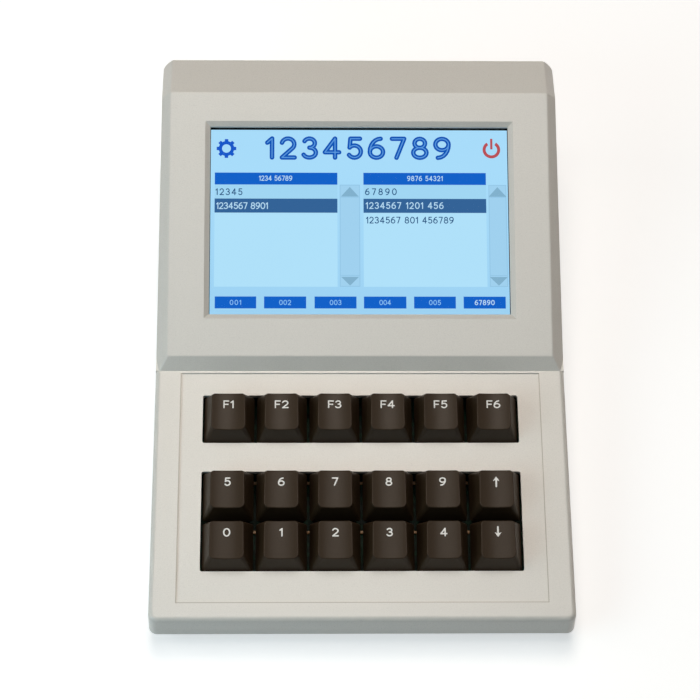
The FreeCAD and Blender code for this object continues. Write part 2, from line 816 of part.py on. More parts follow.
def board_screws():
    """The screws of the key board, the display and the main board."""
    board_low = -key_board_depth - board_thickness
    bracket_low = backlight_low - bracket_thickness
    turned = FreeCAD.Rotation(Vector(1, 0, 0), 180)
    places = [deck_frame.multiply(at(x, y, board_low)) for x, y in key_board_boss_places()]
    places += [face_frame.multiply(at(x, y, bracket_low)) for x, y in display_boss_places()]
    places += [FreeCAD.Placement(Vector(x, y, z_board), turned) for x, y in main_screw_places()]
    return [placed(board_screw(), place) for place in places]


def board_place(x_share, y_share):
    """Point on the main board at shares of its width from the middle and its depth from the front."""
    return at(x_share * main_width, main_front + y_share * main_depth, z_board)


def board_chips():
    """Parts soldered to the main board: (width, depth, height), then their place as shares of it."""
    packages = [
        ((processor_side, processor_side, chip_height), (-0.04, 0.42)),
        ((memory_width, memory_depth, chip_height), (0.20, 0.42)),
        ((driver_side, driver_side, chip_height), (-0.29, 0.38)),
        ((clock_side, clock_side, chip_height), (-0.29, 0.69)),
        ((regulator_width, regulator_depth, regulator_height), (0.20, 0.76)),
        ((crystal_width, crystal_depth, crystal_height), (-0.04, 0.62)),
    ]
    chips = []
    for (width, depth, height), shares in packages:
        chips.append(placed(centred_block(width, depth, 0, height), board_place(*shares)))
    for shares in ((0.07, 0.78), (0.33, 0.69), (-0.11, 0.80)):
        chips.append(placed(post(capacitor_diameter, 0, 0, 0, capacitor_height), board_place(*shares)))
    return chips


def clock_battery():
    return post(battery_diameter, main_width / 2 - tall_part_inset, main_front + tall_part_inset,
                z_board, z_board + battery_thickness)


def buzzer():
    x = tall_part_inset - main_width / 2
    y = main_front + tall_part_inset
    can = post(buzzer_diameter, x, y, z_board, z_board + buzzer_height)
    return can.cut(post(buzzer_hole, x, y, z_board + buzzer_height / 2, z_board + 2 * buzzer_height))


def usb_socket():
    """Metal shell and the tongue inside it, flush with the rear wall."""
    y_face = y_back - socket_setback
    half = usb_width / 2
    body = block(-half, half, y_face - usb_depth, y_face, z_board, z_board + usb_height)
    mouth_low = y_face - usb_mouth_depth
    middle = z_board + usb_height / 2
    mouth = block(-usb_mouth_width / 2, usb_mouth_width / 2, mouth_low, y_back,
                  middle - usb_mouth_height / 2, middle + usb_mouth_height / 2)
    tongue = block(-usb_tongue_width / 2, usb_tongue_width / 2, mouth_low, y_face - socket_pin_setback,
                   middle - usb_tongue_height / 2, middle + usb_tongue_height / 2)
    return [placed(body.cut(mouth), at(usb_position, 0, 0)), placed(tongue, at(usb_position, 0, 0))]


def dc_jack():
    """Body with the bore for the plug, and the pin in its middle."""
    y_face = y_back - socket_setback
    half = jack_width / 2
    body = block(-half, half, y_face - jack_depth, y_face, z_board, z_board + jack_height)
    start = Vector(0, y_face - jack_bore_depth, z_board + jack_axis_height)
    bore = Part.makeCylinder(jack_bore / 2, 2 * jack_bore_depth, start, Vector(0, 1, 0))
    pin = Part.makeCylinder(jack_pin / 2, jack_bore_depth - socket_pin_setback, start, Vector(0, 1, 0))
    return [placed(body.cut(bore), at(jack_position, 0, 0)), placed(pin, at(jack_position, 0, 0))]


# ---- Display, in the frame of the hood's face ----
def display_slab(x_half, y_half, z_low, z_high):
    return block(-x_half, x_half, display_middle - y_half, display_middle + y_half, z_low, z_high)


def display_gasket():
    x_half = window_width / 2
    y_half = window_height / 2
    low = -wall - gasket_thickness
    ring = display_slab(x_half + glass_margin, y_half + glass_margin, low, -wall)
    opening = display_slab(x_half + gasket_setback, y_half + gasket_setback, low - spare, 0)
    return placed(ring.cut(opening), face_frame)


def touch_glass():
    slab = display_slab(window_width / 2 + glass_margin, window_height / 2 + glass_margin,
                        glass_low, glass_low + glass_thickness)
    return placed(slab, face_frame)


def lcd_panel():
    return placed(display_slab(panel_half, panel_half_height, panel_low, glass_low), face_frame)


def backlight():
    return placed(display_slab(panel_half, panel_half_height, backlight_low, panel_low), face_frame)


def display_bracket():
    """Sheet tray behind the display with four ears on the bosses and a gap for the cable."""
    low = backlight_low - bracket_thickness
    plate = display_slab(bracket_half, bracket_half_height, low, backlight_low)
    tray = display_slab(bracket_half, bracket_half_height, backlight_low, backlight_low + bracket_rise)
    room = display_slab(panel_half + bracket_gap, panel_half_height + bracket_gap, low, 0)
    cable_low = ribbon_offset - ribbon_width
    cable_gap = block(cable_low, ribbon_offset + ribbon_width, display_middle - 2 * panel_half_height,
                      display_middle, backlight_low, 0)
    bracket = [plate, tray.cut([room, cable_gap])]
    for x, y in display_boss_places():
        side = math.copysign(1, x)
        ends = sorted([side * (bracket_half - bracket_thickness), x + side * bracket_ear])
        bracket.append(block(*ends, y - bracket_ear, y + bracket_ear, low, backlight_low))
    holes = [post(screw_shank + 2 * screw_gap, x, y, 2 * low, 0) for x, y in display_boss_places()]
    return placed(joined(bracket).cut(holes), face_frame)


# ---- Flat cables ----
def ribbon_place(point):
    """(y, z) of a point in space."""
    return (point.y, point.z)


def flat_cable(x, points):
    """Flat cable that follows the points of a path in the YZ plane."""
    half = ribbon_thickness / 2
    upper = []
    lower = []
    for number, (y, z) in enumerate(points):
        before = points[max(number - 1, 0)]
        after = points[min(number + 1, len(points) - 1)]
        here = (y, z)
        into = Vector(0, here[0] - before[0], here[1] - before[1])
        out = Vector(0, after[0] - here[0], after[1] - here[1])
        into = into.normalize() if into.Length > 0 else out.normalize()
        out = out.normalize() if out.Length > 0 else into
        mean = (into + out).normalize()
        across = Vector(0, -mean.z, mean.y) * (half / mean.dot(into))
        upper.append(Vector(x - ribbon_width / 2, y, z) + across)
        lower.append(Vector(x - ribbon_width / 2, y, z) - across)
    corners = upper + lower[::-1]
    outline = Part.makePolygon(corners + corners[:1])
    return Part.Face(outline).extrude(Vector(ribbon_width, 0, 0))


def cable_socket_face():
    """y of the front of the sockets on the main board."""
    return main_front + cable_socket_inset


def key_cable():
    deck_y = function_front + function_slot + board_edge
    deck_z = -key_board_depth - board_thickness - cable_socket_height / 2
    start = deck_frame.multVec(Vector(0, deck_y, deck_z))
    leave = deck_frame.multVec(Vector(0, deck_y + ribbon_straight, deck_z))
    end = Vector(0, cable_socket_face(), z_board + cable_socket_height / 2)
    arrive = end - Vector(0, ribbon_straight, 0)
    return flat_cable(-ribbon_offset, [ribbon_place(point) for point in (start, leave, arrive, end)])


def display_cable():
    low_edge = display_middle - panel_half_height
    level = (panel_low + backlight_low) / 2
    start = face_frame.multVec(Vector(0, low_edge, level))
    leave = face_frame.multVec(Vector(0, low_edge - ribbon_straight, level))
    end = Vector(0, cable_socket_face(), z_board + cable_socket_height / 2)
    arrive = end - Vector(0, ribbon_straight, 0)
    turn = arrive + Vector(0, -ribbon_straight, ribbon_straight)
    return flat_cable(ribbon_offset, [ribbon_place(point) for point in (start, leave, turn, arrive, end)])


def cable_sockets():
    """One socket under the key board and two on the main board."""
    half = cable_socket_width / 2
    back = function_front + function_slot + board_edge
    low = -key_board_depth - board_thickness - cable_socket_height
    under = block(-ribbon_offset - half, -ribbon_offset + half, back - cable_socket_depth, back,
                  low, low + cable_socket_height)
    sockets = [placed(under, deck_frame)]
    for x in (-ribbon_offset, ribbon_offset):
        front = cable_socket_face()
        sockets.append(block(x - half, x + half, front, front + cable_socket_depth,
                             z_board, z_board + cable_socket_height))
    return sockets


# ---- Feet and case screws ----
def rubber_feet():
    return [post(foot_diameter, x, y, 0, foot_stand + foot_sink) for x, y in foot_places()]


def case_screws():
    one = screw(case_screw_head, case_screw_head_height, case_screw_shank, case_screw_length)
    return [placed(one, at(x, y, z_parting - case_screw_web)) for x, y in case_screw_places()]


# ---- Writing the nodes ----
def save(name, shapes):
    shape = Part.makeCompound(shapes) if isinstance(shapes, list) else shapes
    whole = shape.isValid() and len(shape.Solids) > 0
    print(name, "solids", len(shape.Solids), "valid", whole, "volume", round(shape.Volume, 1))
    shape.exportStep("parts/" + name + ".step")


def main():
    os.makedirs("parts", exist_ok=True)
    save("top_shell", top_shell())
    save("base_shell", base_shell())
    places = key_places()
    cap = keycap()
    stem = switch_stem()
    for name, place in places:
        save("keycap_" + name, placed(cap, place))
        save("switch_stem_" + name, placed(stem, place))
    save("switch_lower_housings", copies(switch_lower_housing(), places))
    save("switch_upper_housings", copies(switch_upper_housing(), places))
    save("switch_springs", copies(switch_spring(), places))
    contacts = []
    for contact in switch_contacts():
        contacts += copies(contact, places)
    save("switch_contacts", contacts)
    save("key_board", key_board())
    save("key_diodes", key_diodes())
    save("main_board", main_board())
    save("board_chips", board_chips())
    save("clock_battery", clock_battery())
    save("buzzer", buzzer())
    save("usb_socket", usb_socket())
    save("dc_jack", dc_jack())
    save("display_gasket", display_gasket())
    save("touch_glass", touch_glass())
    save("lcd_panel", lcd_panel())
    save("backlight", backlight())
    save("display_bracket", display_bracket())
    save("ribbon_cables", [key_cable(), display_cable()])
    save("cable_sockets", cable_sockets())
    save("board_screws", board_screws())
    save("case_screws", case_screws())
    save("rubber_feet", rubber_feet())
    print("case", round(case_width, 2), "x", round(case_depth, 2), "x", round(z_deck + ridge_z, 2))


main()
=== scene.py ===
"""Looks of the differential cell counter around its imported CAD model.

Lengths in the tables are in millimetres and angles in degrees; Blender's own units are metres.
"""
import json
import math

import bmesh
import bpy
from mathutils import Matrix, Vector

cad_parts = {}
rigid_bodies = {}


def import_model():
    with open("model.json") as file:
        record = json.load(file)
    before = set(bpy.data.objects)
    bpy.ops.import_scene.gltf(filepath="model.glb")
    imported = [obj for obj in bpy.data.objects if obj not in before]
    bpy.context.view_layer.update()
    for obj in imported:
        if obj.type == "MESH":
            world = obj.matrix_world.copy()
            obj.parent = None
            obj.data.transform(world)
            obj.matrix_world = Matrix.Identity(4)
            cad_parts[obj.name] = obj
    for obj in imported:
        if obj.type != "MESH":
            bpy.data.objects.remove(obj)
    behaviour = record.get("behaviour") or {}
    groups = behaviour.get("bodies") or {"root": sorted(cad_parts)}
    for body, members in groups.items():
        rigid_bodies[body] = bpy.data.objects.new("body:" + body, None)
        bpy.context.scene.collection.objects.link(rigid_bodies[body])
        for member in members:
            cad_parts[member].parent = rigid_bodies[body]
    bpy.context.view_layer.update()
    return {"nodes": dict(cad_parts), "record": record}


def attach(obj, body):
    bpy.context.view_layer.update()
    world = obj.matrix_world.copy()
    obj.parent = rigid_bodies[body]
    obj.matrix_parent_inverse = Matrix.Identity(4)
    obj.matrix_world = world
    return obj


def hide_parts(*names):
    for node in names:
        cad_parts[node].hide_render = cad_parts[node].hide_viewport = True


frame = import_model()
nodes = frame["nodes"]

MM = 0.001

# ---- The frames that part.py builds in ----
DECK_SLOPE = 6.0
FACE_SLOPE = 19.2
FRONT_Y = -106.923
DECK_Z = 18.894
FACE_Y = 98.725
FACE_Z = 14.499
KEY_PITCH = 19.05
KEY_COLUMNS = 6
ROW_PLACES = (27.9, 46.95, 76.75)
KEY_BOARD_DEPTH = 13.1
KEY_NAMES = (
    ("0", "1", "2", "3", "4", "down"),
    ("5", "6", "7", "8", "9", "up"),
    ("f1", "f2", "f3", "f4", "f5", "f6"),
)

# ---- Top of a keycap, in the frame of its switch ----
CAP_TOP_MIDDLE = -0.85
CAP_TOP_REAR = 5.95
CAP_HOLLOW_HEIGHT = 21.5
CAP_HOLLOW_RADIUS = 26.064
CAP_TILT = 3.4
LEGEND_LEVELS = (-0.015, 0.015)
LEGEND_DOWN = 4.05

# ---- Sockets in the rear wall: a point on the axis, and how far the inner finish reaches ----
USB_MIDDLE = (-32.0, 0.0, 15.0)
USB_TONGUE_REACH = 3.4
JACK_MIDDLE = (32.0, 0.0, 16.1)
JACK_PIN_REACH = 1.5

# ---- Display, measured on the face from the window's middle ----
WINDOW_MIDDLE = 51.7
GLASS_LOW = -4.1
PANEL_THICKNESS = 2.4
PANEL_HALF = (59.5, 39.8)
PANEL_GAP = 0.15
PANEL_EDGE = 0.2
PANEL_EDGE_STEPS = 2
IMAGE_LIFT = 0.02
IMAGE_THICKNESS = 0.022


def deck_frame(y, z, slope):
    """Frame on the case's side profile, y behind the front and z over the deck's edge."""
    place = Matrix.Translation(Vector((0, FRONT_Y + y, DECK_Z + z)) * MM)
    return place @ Matrix.Rotation(math.radians(slope), 4, "X")


DECK = deck_frame(0, 0, DECK_SLOPE)
FACE = deck_frame(FACE_Y, FACE_Z, FACE_SLOPE)
SCREEN = FACE @ Matrix.Translation(Vector((0, WINDOW_MIDDLE, GLASS_LOW)) * MM)


def key_frame(row, column):
    """Frame of a key switch, with its origin on the key board."""
    x = (column - (KEY_COLUMNS - 1) / 2) * KEY_PITCH
    return DECK @ Matrix.Translation(Vector((x, ROW_PLACES[row], -KEY_BOARD_DEPTH)) * MM)


# ---- Materials: noise scales are per metre, and shades are factors on a base colour ----
def linear(red, green, blue):
    """Linear colour of an sRGB one given as 0 to 255."""
    channels = []
    for value in (red, green, blue):
        share = value / 255
        channels.append(share / 12.92 if share <= 0.04045 else ((share + 0.055) / 1.055) ** 2.4)
    return (*channels, 1.0)


def scaled(colour, factor):
    """Darker or lighter shade of a colour."""
    return (*[min(value * factor, 1.0) for value in colour[:3]], 1.0)


class Nodes:
    """Node tree of one material, with short calls that add and link its nodes."""

    def __init__(self, name):
        self.material = bpy.data.materials.new(name)
        self.material.use_nodes = True
        self.tree = self.material.node_tree
        self.shader = self.tree.nodes["Principled BSDF"]
        self.place = self.add("ShaderNodeTexCoord").outputs["Object"]

    def add(self, kind, **settings):
        node = self.tree.nodes.new(kind)
        for key, value in settings.items():
            setattr(node, key, value)
        return node

    def link(self, start, end):
        self.tree.links.new(start, end)

    def noise(self, scale, detail, roughness=0.5, stretch=None):
        """Noise fixed to the object, stretched along its axes if that is given."""
        texture = self.add("ShaderNodeTexNoise")
        texture.inputs["Scale"].default_value = scale
        texture.inputs["Detail"].default_value = detail
        texture.inputs["Roughness"].default_value = roughness
        start = self.place
        if stretch:
            mapping = self.add("ShaderNodeMapping")
            mapping.inputs["Scale"].default_value = stretch
            self.link(start, mapping.inputs["Vector"])
            start = mapping.outputs["Vector"]
        self.link(start, texture.inputs["Vector"])
        return texture.outputs["Fac"]

    def mapped(self, start, low, high, from_low=0.3, from_high=0.7):
        """Value between low and high; most of a noise lies between 0.3 and 0.7."""
        node = self.add("ShaderNodeMapRange")
        self.link(start, node.inputs["Value"])
        names = ("From Min", "From Max", "To Min", "To Max")
        for key, value in zip(names, (from_low, from_high, low, high)):
            node.inputs[key].default_value = value
        return node.outputs["Result"]

    def math(self, operation, *values):
        """Result of a sum or comparison of numbers and other nodes' outputs."""
        node = self.add("ShaderNodeMath", operation=operation)
        for socket, value in zip(node.inputs, values):
            if isinstance(value, (int, float)):
                socket.default_value = value
            else:
                self.link(value, socket)
        return node.outputs[0]

    def mixed(self, factor, low, high):
        """Colour between low and high, each a colour or another node's output."""
        node = self.add("ShaderNodeMix", data_type="RGBA")
        self.link(factor, node.inputs[0])
        for socket, value in ((node.inputs[6], low), (node.inputs[7], high)):
            if isinstance(value, tuple):
                socket.default_value = value
            else:
                self.link(value, socket)
        return node.outputs[2]

    def bump(self, height, depth, strength=1.0):
        """Bump of that depth in millimetres."""
        node = self.add("ShaderNodeBump")
        node.inputs["Distance"].default_value = depth * MM
        node.inputs["Strength"].default_value = strength
        self.link(height, node.inputs["Height"])
        self.link(node.outputs["Normal"], self.shader.inputs["Normal"])

    def plain(self, **sockets):
        """Numbers and colours that are the same all over the surface."""
        for key, value in sockets.items():
            self.shader.inputs[key.replace("_", " ")].default_value = value


def varied(name, colour, roughness, grain, depth, variation=0.05, patch=60, **sockets):
    """Material with patches of slightly different colour and gloss and a fine grain."""
    made = Nodes(name)
    patches = made.noise(patch, 3.0)
    colour_out = made.mixed(patches, scaled(colour, 1 - variation), scaled(colour, 1 + variation))
    made.link(colour_out, made.shader.inputs["Base Color"])
    spread = made.mapped(patches, roughness * 0.92, roughness * 1.08)
    made.link(spread, made.shader.inputs["Roughness"])
    made.bump(made.noise(grain, 2.0), depth)
    made.plain(**sockets)
    return made.material


# ---- Painted shadow line on the rim of the sunk key field: the field's half width, its ends along the deck, the line's width and its colour ----
RIM_HALF = 65.275
RIM_FRONT = 7.0
RIM_REAR = 94.8
RIM_SHADOW_WIDTH = 0.3
RIM_SHADOW_COLOUR = linear(168, 160, 148)


def rim_shadow_line(made):
    """1 on the hairline of painted shadow along the rim of the sunk key field, 0 elsewhere."""
    axes = made.add("ShaderNodeSeparateXYZ")
    made.link(made.place, axes.inputs[0])
    front, rear = [DECK @ (Vector((0, y, 0)) * MM) for y in (RIM_FRONT, RIM_REAR)]
    beside = made.math("SUBTRACT", made.math("ABSOLUTE", axes.outputs["X"]), RIM_HALF * MM)
    before = made.math("SUBTRACT", front.y, axes.outputs["Y"])
    outside = made.math("MAXIMUM", beside, before)
    line = made.math("COMPARE", outside, RIM_SHADOW_WIDTH / 2 * MM, RIM_SHADOW_WIDTH / 2 * MM)
    over_base = made.math("GREATER_THAN", axes.outputs["Z"], front.z - MM)
    short_of_hood = made.math("LESS_THAN", axes.outputs["Y"], rear.y)
    return made.math("MULTIPLY", line, made.math("MULTIPLY", over_base, short_of_hood))


def case_plastic():
    """Light warm grey moulding with a fine spark-eroded texture and a painted shadow line at the rim of
    the sunk key field.
    """
    colour = linear(217, 213, 206)
    made = Nodes("case_plastic")
    cloud = made.noise(18, 2.0)
    speck = made.noise(2600, 2.0, 0.6)
    base = made.mixed(cloud, scaled(colour, 0.975), scaled(colour, 1.025))
    toned = made.mixed(made.mapped(speck, 0.0, 1.0, 0.35, 0.65), scaled(colour, 0.94), base)
    # Painted shade: a darker hairline where the sunk key field meets its rim.
    made.link(made.mixed(rim_shadow_line(made), toned, RIM_SHADOW_COLOUR), made.shader.inputs["Base Color"])
    made.link(made.mapped(speck, 0.27, 0.34), made.shader.inputs["Roughness"])
    made.bump(speck, 0.025, 0.5)
    return made.material


def key_plastic():
    """Dark brown-black keycaps with a fine matt texture, a little smoother in random patches."""
    colour = linear(48, 36, 24)
    made = Nodes("key_plastic")
    speck = made.noise(3200, 2.0, 0.6)
    cloud = made.noise(160, 3.0)
    base = made.mixed(cloud, scaled(colour, 0.9), scaled(colour, 1.12))
    toned = made.mixed(made.mapped(speck, 0.0, 1.0, 0.3, 0.7), scaled(colour, 0.82), base)
    made.link(toned, made.shader.inputs["Base Color"])
    made.link(made.mapped(cloud, 0.42, 0.5), made.shader.inputs["Roughness"])
    made.bump(speck, 0.03, 0.6)
    made.plain(Specular_IOR_Level=0.08, Specular_Tint=(1.0, 0.86, 0.72, 1.0))
    made.plain(Coat_Weight=0.1, Coat_Roughness=0.22)
    return made.material


BLACK = (0.0, 0.0, 0.0, 1.0)
WHITE = (1.0, 1.0, 1.0, 1.0)
GLOW_VARIATION = 0.01
FADE_RANGE = (-36.0, 18.0)


def lit(name, colour, faded=None):
    """Part of the display's image, lit from behind; faded is its colour low on the display."""
    made = Nodes(name)
    dim, bright = scaled(colour, 1 - GLOW_VARIATION), scaled(colour, 1 + GLOW_VARIATION)
    glow = made.mixed(made.noise(22, 1.0), dim, bright)
    if faded:
        axes = made.add("ShaderNodeSeparateXYZ")
        made.link(made.place, axes.inputs[0])
        low, high = [(SCREEN @ (Vector((0, y, 0)) * MM)).y for y in FADE_RANGE]
        glow = made.mixed(made.mapped(axes.outputs["Y"], 0.0, 1.0, low, high), faded, glow)
    made.link(glow, made.shader.inputs["Emission Color"])
    made.plain(Base_Color=BLACK, Emission_Strength=1.0, Roughness=0.35, Specular_IOR_Level=0.0)
    made.material.cycles.emission_sampling = "NONE"
    return made.material


def clear_glass():
    """Clear glass with a coating that keeps it from mirroring the room when seen straight on."""
    made = Nodes("touch_glass")
    made.link(made.mapped(made.noise(35, 2.0), 0.02, 0.05), made.shader.inputs["Roughness"])
    made.plain(Base_Color=WHITE, Transmission_Weight=1.0, IOR=1.45, Specular_Tint=BLACK)
    return made.material


def circuit_board():
    """Green solder mask with tracks that show faintly through it."""
    colour = linear(8, 30, 20)
    made = Nodes("board_green")
    tracks = made.add("ShaderNodeTexVoronoi", distance="CHEBYCHEV")
    tracks.inputs["Scale"].default_value = 420
    made.link(made.place, tracks.inputs["Vector"])
    lines = made.mapped(tracks.outputs["Distance"], 0.0, 1.0, 0.42, 0.5)
    base = made.mixed(made.noise(90, 2.0), scaled(colour, 0.9), scaled(colour, 1.1))
    made.link(made.mixed(lines, base, linear(18, 52, 34)), made.shader.inputs["Base Color"])
    made.link(made.mapped(made.noise(300, 2.0), 0.4, 0.5), made.shader.inputs["Roughness"])
    made.bump(lines, 0.03)
    made.plain(Specular_IOR_Level=0.1)
    return made.material


def two_part(name, point, radius, inner, outer, metal_inner):
    """Two finishes in one node: inner within radius of the line along Y through point."""
    made = Nodes(name)
    offset = made.add("ShaderNodeVectorMath", operation="SUBTRACT")
    made.link(made.place, offset.inputs[0])
    offset.inputs[1].default_value = Vector(point) * MM
    flat = made.add("ShaderNodeVectorMath", operation="MULTIPLY")
    made.link(offset.outputs[0], flat.inputs[0])
    flat.inputs[1].default_value = (1, 0, 1)
    length = made.add("ShaderNodeVectorMath", operation="LENGTH")
    made.link(flat.outputs[0], length.inputs[0])
    inside = made.math("LESS_THAN", length.outputs["Value"], radius * MM)
    chosen = made.mixed(inside, outer, inner)
    shade = made.mixed(made.noise(400, 2.0), scaled(WHITE, 0.9), WHITE)
    tint = made.add("ShaderNodeMix", data_type="RGBA", blend_type="MULTIPLY")
    tint.inputs[0].default_value = 1.0
    made.link(chosen, tint.inputs[6])
    made.link(shade, tint.inputs[7])
    made.link(tint.outputs[2], made.shader.inputs["Base Color"])
    low, high = (0.0, 1.0) if metal_inner else (1.0, 0.0)
    made.link(made.mapped(inside, low, high, 0.0, 1.0), made.shader.inputs["Metallic"])
    made.link(made.mapped(made.noise(700, 2.0), 0.28, 0.42), made.shader.inputs["Roughness"])
    made.bump(made.noise(1500, 2.0), 0.01)
    return made.material


def brushed(name, colour, roughness, stretch):
    """Metal with fine lines along one direction."""
    made = Nodes(name)
    lines = made.noise(900, 3.0, 0.6, stretch)
    toned = made.mixed(lines, scaled(colour, 0.86), scaled(colour, 1.08))
    made.link(toned, made.shader.inputs["Base Color"])
    made.link(made.mapped(lines, roughness * 0.8, roughness * 1.25), made.shader.inputs["Roughness"])
    made.bump(lines, 0.008)
    made.plain(Metallic=1.0)
    return made.material


def ribbon_cable():
    """Flat white cable with its wires lying side by side."""
    made = Nodes("ribbon_white")
    waves = made.add("ShaderNodeTexWave", bands_direction="X", wave_profile="SIN")
    waves.inputs["Scale"].default_value = 320
    made.link(made.place, waves.inputs["Vector"])
    toned = made.mixed(waves.outputs["Fac"], linear(196, 194, 186), linear(232, 230, 222))
    made.link(toned, made.shader.inputs["Base Color"])
    made.bump(waves.outputs["Fac"], 0.06)
    made.plain(Roughness=0.45)
    return made.material


LOOKS = {
    "case_plastic": case_plastic(),
    "key_plastic": key_plastic(),
    "stem_plastic": varied("stem_plastic", linear(48, 49, 54), 0.4, 900, 0.01,
                           Specular_IOR_Level=0.2),
    "housing_plastic": varied("housing_plastic", linear(24, 23, 22), 0.6, 1600, 0.02,
                              Specular_IOR_Level=0.1),
    "spring_steel": brushed("spring_steel", linear(205, 205, 205), 0.25, (1, 1, 6)),
    "contact_metal": brushed("contact_metal", linear(226, 190, 120), 0.25, (1, 1, 6)),
    "board_green": circuit_board(),
    "diode_glass": varied("diode_glass", linear(208, 160, 112), 0.3, 700, 0.01, 0.2, 500),
    "chip_black": varied("chip_black", linear(42, 42, 44), 0.6, 1800, 0.02),
    "battery_steel": brushed("battery_steel", linear(214, 214, 214), 0.2, (6, 1, 1)),
    "socket_metal": two_part("socket_metal", USB_MIDDLE, USB_TONGUE_REACH,
                             linear(225, 224, 218), linear(196, 198, 202), False),
    "socket_plastic": two_part("socket_plastic", JACK_MIDDLE, JACK_PIN_REACH,
                               linear(215, 212, 205), linear(28, 28, 29), True),
    "socket_white": varied("socket_white", linear(226, 223, 214), 0.45, 900, 0.01),
    "gasket_foam": varied("gasket_foam", linear(26, 26, 27), 0.85, 1500, 0.08),
    "touch_glass": clear_glass(),
    "lcd_screen": lit("lcd_screen", linear(168, 220, 250), linear(157, 210, 243)),
    "backlight_white": varied("backlight_white", linear(236, 236, 232), 0.35, 800, 0.01),
    "bracket_steel": brushed("bracket_steel", linear(190, 192, 194), 0.35, (1, 8, 1)),
    "ribbon_white": ribbon_cable(),
    "screw_steel": brushed("screw_steel", linear(188, 188, 186), 0.32, (4, 4, 1)),
    "foot_rubber": varied("foot_rubber", linear(34, 33, 32), 0.8, 1200, 0.05),
}
LEGEND = varied("legend_white", linear(236, 233, 228), 0.5, 2500, 0.01, 0.02, 300)
SCREEN_LIST = lit("screen_list", linear(176, 225, 250))
SCREEN_FIRST_ROW = lit("screen_first_row", linear(161, 214, 243))
SCREEN_BLUE = lit("screen_blue", linear(20, 97, 200))
SCREEN_SELECTED = lit("screen_selected", linear(52, 99, 151))
SCREEN_SCROLL = lit("screen_scroll", linear(160, 209, 239))
SCREEN_SCROLL_LINE = lit("screen_scroll_line", linear(148, 198, 230))
SCREEN_ARROW = lit("screen_arrow", linear(130, 177, 205))
SCREEN_GEAR = lit("screen_gear", linear(24, 88, 200))
SCREEN_RED = lit("screen_red", linear(186, 80, 86))
SCREEN_WORDS = lit("screen_words", linear(186, 220, 246))
SCREEN_FAINT_WORDS = lit("screen_faint_words", linear(140, 196, 244))
SCREEN_DARK = lit("screen_dark", linear(26, 76, 124))
SCREEN_ROW_WORDS = lit("screen_row_words", linear(184, 222, 246))
SCREEN_TITLE = lit("screen_title", linear(14, 84, 180))
SCREEN_TITLE_INNER = lit("screen_title_inner", linear(92, 154, 224))

slots_of = {part["node"]: part["material_slot"] for part in frame["record"]["subparts"]}
for node, thing in nodes.items():
    thing.data.materials.clear()
    thing.data.materials.append(LOOKS[slots_of[node]])


# ---- Meshes ----
def add_walls(shape, lower, upper):
    """Side faces between two rings of as many points each."""
    for number in range(len(lower)):
        after = (number + 1) % len(lower)
        shape.faces.new((lower[number], lower[after], upper[after], upper[number]))


def add_slab(shape, outline, low, high):
    """Flat solid with that outline between two levels of the display."""
    rings = []
    for z in (low, high):
        rings.append([shape.verts.new(SCREEN @ (Vector((x, y, z)) * MM)) for x, y in outline])
    lower, upper = rings
    shape.faces.new(upper)
    shape.faces.new(lower[::-1])
    add_walls(shape, lower, upper)


def finished(shape, name):
    """Mesh of the shape, which is freed."""
    mesh = bpy.data.meshes.new(name)
    shape.to_mesh(mesh)
    shape.free()
    return mesh


def make_object(name, mesh, material, body):
    """Object of that mesh and material, which rides on a body."""
    thing = bpy.data.objects.new(name, mesh)
    bpy.context.scene.collection.objects.link(thing)
    mesh.materials.append(material)
    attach(thing, body)
    return thing


def image_levels(level):
    """Bottom and top of an image layer, measured from the screen's plane."""
    low = IMAGE_LIFT * level - PANEL_GAP
    return (low, low + IMAGE_THICKNESS)


def plates(name, outlines, level, material):
    """Thin plates with those outlines, level image layers above the screen's plane."""
    shape = bmesh.new()
    for outline in outlines:
        add_slab(shape, outline, *image_levels(level))
    bmesh.ops.recalc_face_normals(shape, faces=shape.faces)
    make_object(name, finished(shape, name), material, "case")


def rectangle(left, top, right, bottom):
    """Corners, counter-clockwise from the lower left one."""
    return [(left, bottom), (right, bottom), (right, top), (left, top)]


RING_STEPS = 40


def ring(x, y, inner, outer, start=0.0, end=360.0):
    """Quads of a flat ring or arc; angles run counter-clockwise from the right."""
    quads = []
    for number in range(RING_STEPS):
        corners = []
        after = number + 1
        for step, radius in ((number, inner), (number, outer), (after, outer), (after, inner)):
            angle = math.radians(start + (end - start) * step / RING_STEPS)
            corners.append((x + radius * math.cos(angle), y + radius * math.sin(angle)))
        quads.append(corners)
    return quads


# ---- Lettering: strokes of a glyph in units of its height, after its width ----
ARC_STEP = 15.0
BAR_STEPS = 6
CAP_STEPS = 6
STROKE_LIFT = 0.002            # tops of strokes that cross lie this far apart
STROKE_LIFTS = 3


def arc(x, y, x_radius, y_radius, start, end):
    """Points of an elliptical arc; angles run counter-clockwise from the right."""
    steps = round(abs(end - start) / ARC_STEP)
    points = []
    for number in range(steps + 1):
        angle = math.radians(start + (end - start) * number / steps)
        points.append((x + x_radius * math.cos(angle), y + y_radius * math.sin(angle)))
    return points


def bar(start, end):
    """Points along a straight line."""
    points = []
    for number in range(BAR_STEPS + 1):
        share = number / BAR_STEPS
        points.append((start[0] + (end[0] - start[0]) * share, start[1] + (end[1] - start[1]) * share))
    return points


def turned_half(strokes, width):
    """Strokes of a glyph turned by half a turn."""
    return [[(width - x, 1 - y) for x, y in stroke] for stroke in strokes]


